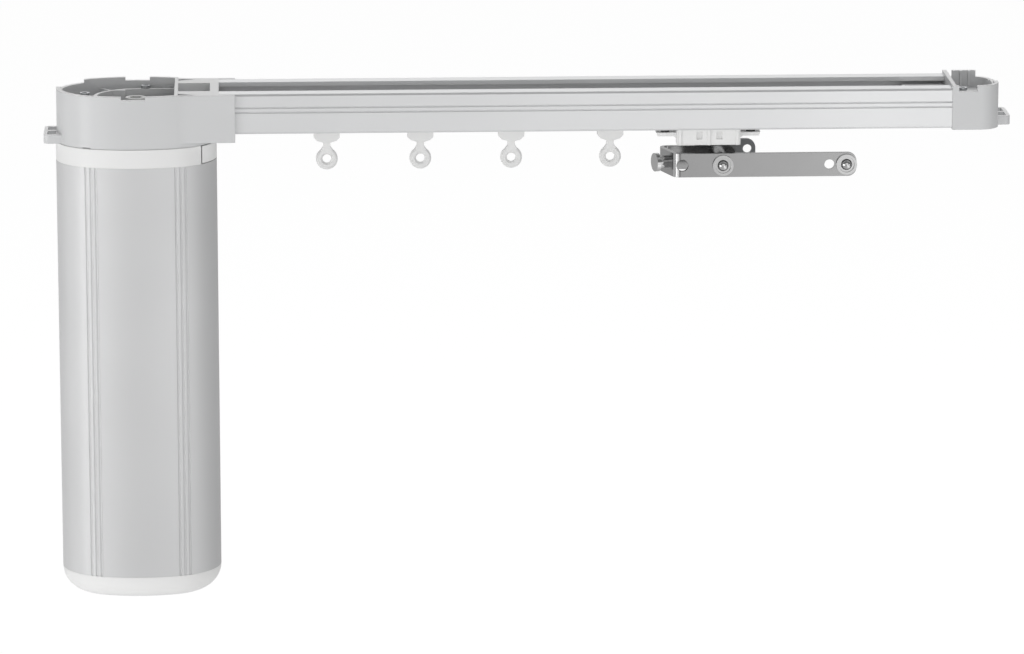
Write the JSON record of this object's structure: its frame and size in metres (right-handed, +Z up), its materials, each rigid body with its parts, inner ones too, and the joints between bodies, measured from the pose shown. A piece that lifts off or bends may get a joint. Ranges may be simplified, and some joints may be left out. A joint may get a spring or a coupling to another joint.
{
  "type": "electric curtain track",
  "caption": "Extruded ceiling curtain track with a belt-driven carrier and steel overlap arm, sliding gliders, a hanging oval tube motor at one end and an idler housing at the other.",
  "frame": {"origin": "on the rail's top plane, at the middle of its length and width, where a ceiling clamp grips", "axes": "+X along the rail from the motor end to the idler end, +Y to the wall behind, +Z up to the ceiling"},
  "size_m": [0.3733, 0.046, 0.2002],
  "materials": {
    "rail_aluminium": "satin anodised extrusion",
    "tube_aluminium": "satin anodised extrusion",
    "housing_plastic": "satin moulded",
    "white_plastic": "semi-gloss moulded",
    "carrier_nylon": "satin moulded",
    "glider_nylon": "satin moulded",
    "pulley_acetal": "satin moulded",
    "wheel_plastic": "satin moulded",
    "black_plastic": "satin moulded",
    "arm_steel": "bright plated",
    "plain_steel": "turned",
    "dark_steel": "dull plated",
    "screw_steel": "plated",
    "black_screw": "black oxide",
    "motor_steel": "plain",
    "board": "solder resist",
    "pin_brass": "plain",
    "belt_rubber": "matt"
  },
  "bodies": {
    "track": {"track_rail": "rail_aluminium", "motor_tube": "tube_aluminium", "drive_housing": "housing_plastic", "housing_base": "housing_plastic", "end_housing": "housing_plastic", "motor_collar": "white_plastic", "bottom_cap": "white_plastic", "power_inlet": "black_plastic", "board_carrier": "black_plastic", "idler_axle": "plain_steel", "drive_bearing": "plain_steel", "housing_screws": "screw_steel", "end_screw": "screw_steel", "motor_can": "motor_steel", "gearbox_case": "motor_steel", "control_board": "board", "inlet_pins": "pin_brass", "toothed_belt": "belt_rubber"},
    "carrier": {"carrier_body": "carrier_nylon", "wheel_axles": "plain_steel", "belt_clamp": "black_plastic", "clamp_screws": "screw_steel", "wing_screws": "black_screw", "hanger_plate": "dark_steel", "hanger_screws": "screw_steel", "arm_bracket": "arm_steel", "arm_bolt": "arm_steel", "arm_spacer": "plain_steel", "arm_nut": "plain_steel", "tip_stud": "arm_steel", "side_stud": "arm_steel"},
    "wheel_1": {"wheel_1": "wheel_plastic"},
    "wheel_2": {"wheel_2": "wheel_plastic"},
    "wheel_3": {"wheel_3": "wheel_plastic"},
    "wheel_4": {"wheel_4": "wheel_plastic"},
    "drive": {"drive_pulley": "pulley_acetal", "output_shaft": "plain_steel"},
    "idler": {"idler_pulley": "pulley_acetal"},
    "latch": {"motor_latch": "white_plastic"},
    "glider_1": {"glider_1": "glider_nylon"},
    "glider_2": {"glider_2": "glider_nylon"},
    "glider_3": {"glider_3": "glider_nylon"},
    "glider_4": {"glider_4": "glider_nylon"}
  },
  "joints": [
    {"name": "carrier_slide", "type": "slide", "parent": "track", "child": "carrier", "axis": [1, 0, 0], "range_m": [-0.004, 0.068]},
    {"name": "wheel_1_roll", "type": "hinge", "parent": "carrier", "child": "wheel_1", "pos_m": [0.0353, -0.0044, -0.0112], "axis": [0, 1, 0], "range_deg": [-100, 1500]},
    {"name": "wheel_2_roll", "type": "hinge", "parent": "carrier", "child": "wheel_2", "pos_m": [0.0603, -0.0044, -0.0112], "axis": [0, 1, 0], "range_deg": [-100, 1500]},
    {"name": "wheel_3_roll", "type": "hinge", "parent": "carrier", "child": "wheel_3", "pos_m": [0.0353, 0.0044, -0.0112], "axis": [0, 1, 0], "range_deg": [-100, 1500]},
    {"name": "wheel_4_roll", "type": "hinge", "parent": "carrier", "child": "wheel_4", "pos_m": [0.0603, 0.0044, -0.0112], "axis": [0, 1, 0], "range_deg": [-100, 1500]},
    {"name": "drive_turn", "type": "hinge", "parent": "track", "child": "drive", "pos_m": [-0.1732, 0, -0.01], "axis": [0, 0, 1], "range_deg": [-30, 410]},
    {"name": "idler_turn", "type": "hinge", "parent": "track", "child": "idler", "pos_m": [0.147, 0, -0.01], "axis": [0, 0, 1], "range_deg": [-30, 410]},
    {"name": "latch_slide", "type": "slide", "parent": "track", "child": "latch", "axis": [1, 0, 0], "range_m": [0, 0.004]},
    {"name": "glider_1_slide", "type": "slide", "parent": "track", "child": "glider_1", "axis": [1, 0, 0], "range_m": [-0.024, 0.012]},
    {"name": "glider_2_slide", "type": "slide", "parent": "track", "child": "glider_2", "axis": [1, 0, 0], "range_m": [-0.012, 0.012]},
    {"name": "glider_3_slide", "type": "slide", "parent": "track", "child": "glider_3", "axis": [1, 0, 0], "range_m": [-0.012, 0.012]},
    {"name": "glider_4_slide", "type": "slide", "parent": "track", "child": "glider_4", "axis": [1, 0, 0], "range_m": [-0.012, 0.004]}
  ],
  "couplings": [
    {"joint": "wheel_1_roll", "follows": "carrier_slide", "rad_per_m": 370.37},
    {"joint": "wheel_2_roll", "follows": "carrier_slide", "rad_per_m": 370.37},
    {"joint": "wheel_3_roll", "follows": "carrier_slide", "rad_per_m": 370.37},
    {"joint": "wheel_4_roll", "follows": "carrier_slide", "rad_per_m": 370.37},
    {"joint": "drive_turn", "follows": "carrier_slide", "rad_per_m": 102.04},
    {"joint": "idler_turn", "follows": "carrier_slide", "rad_per_m": 102.04}
  ]
}
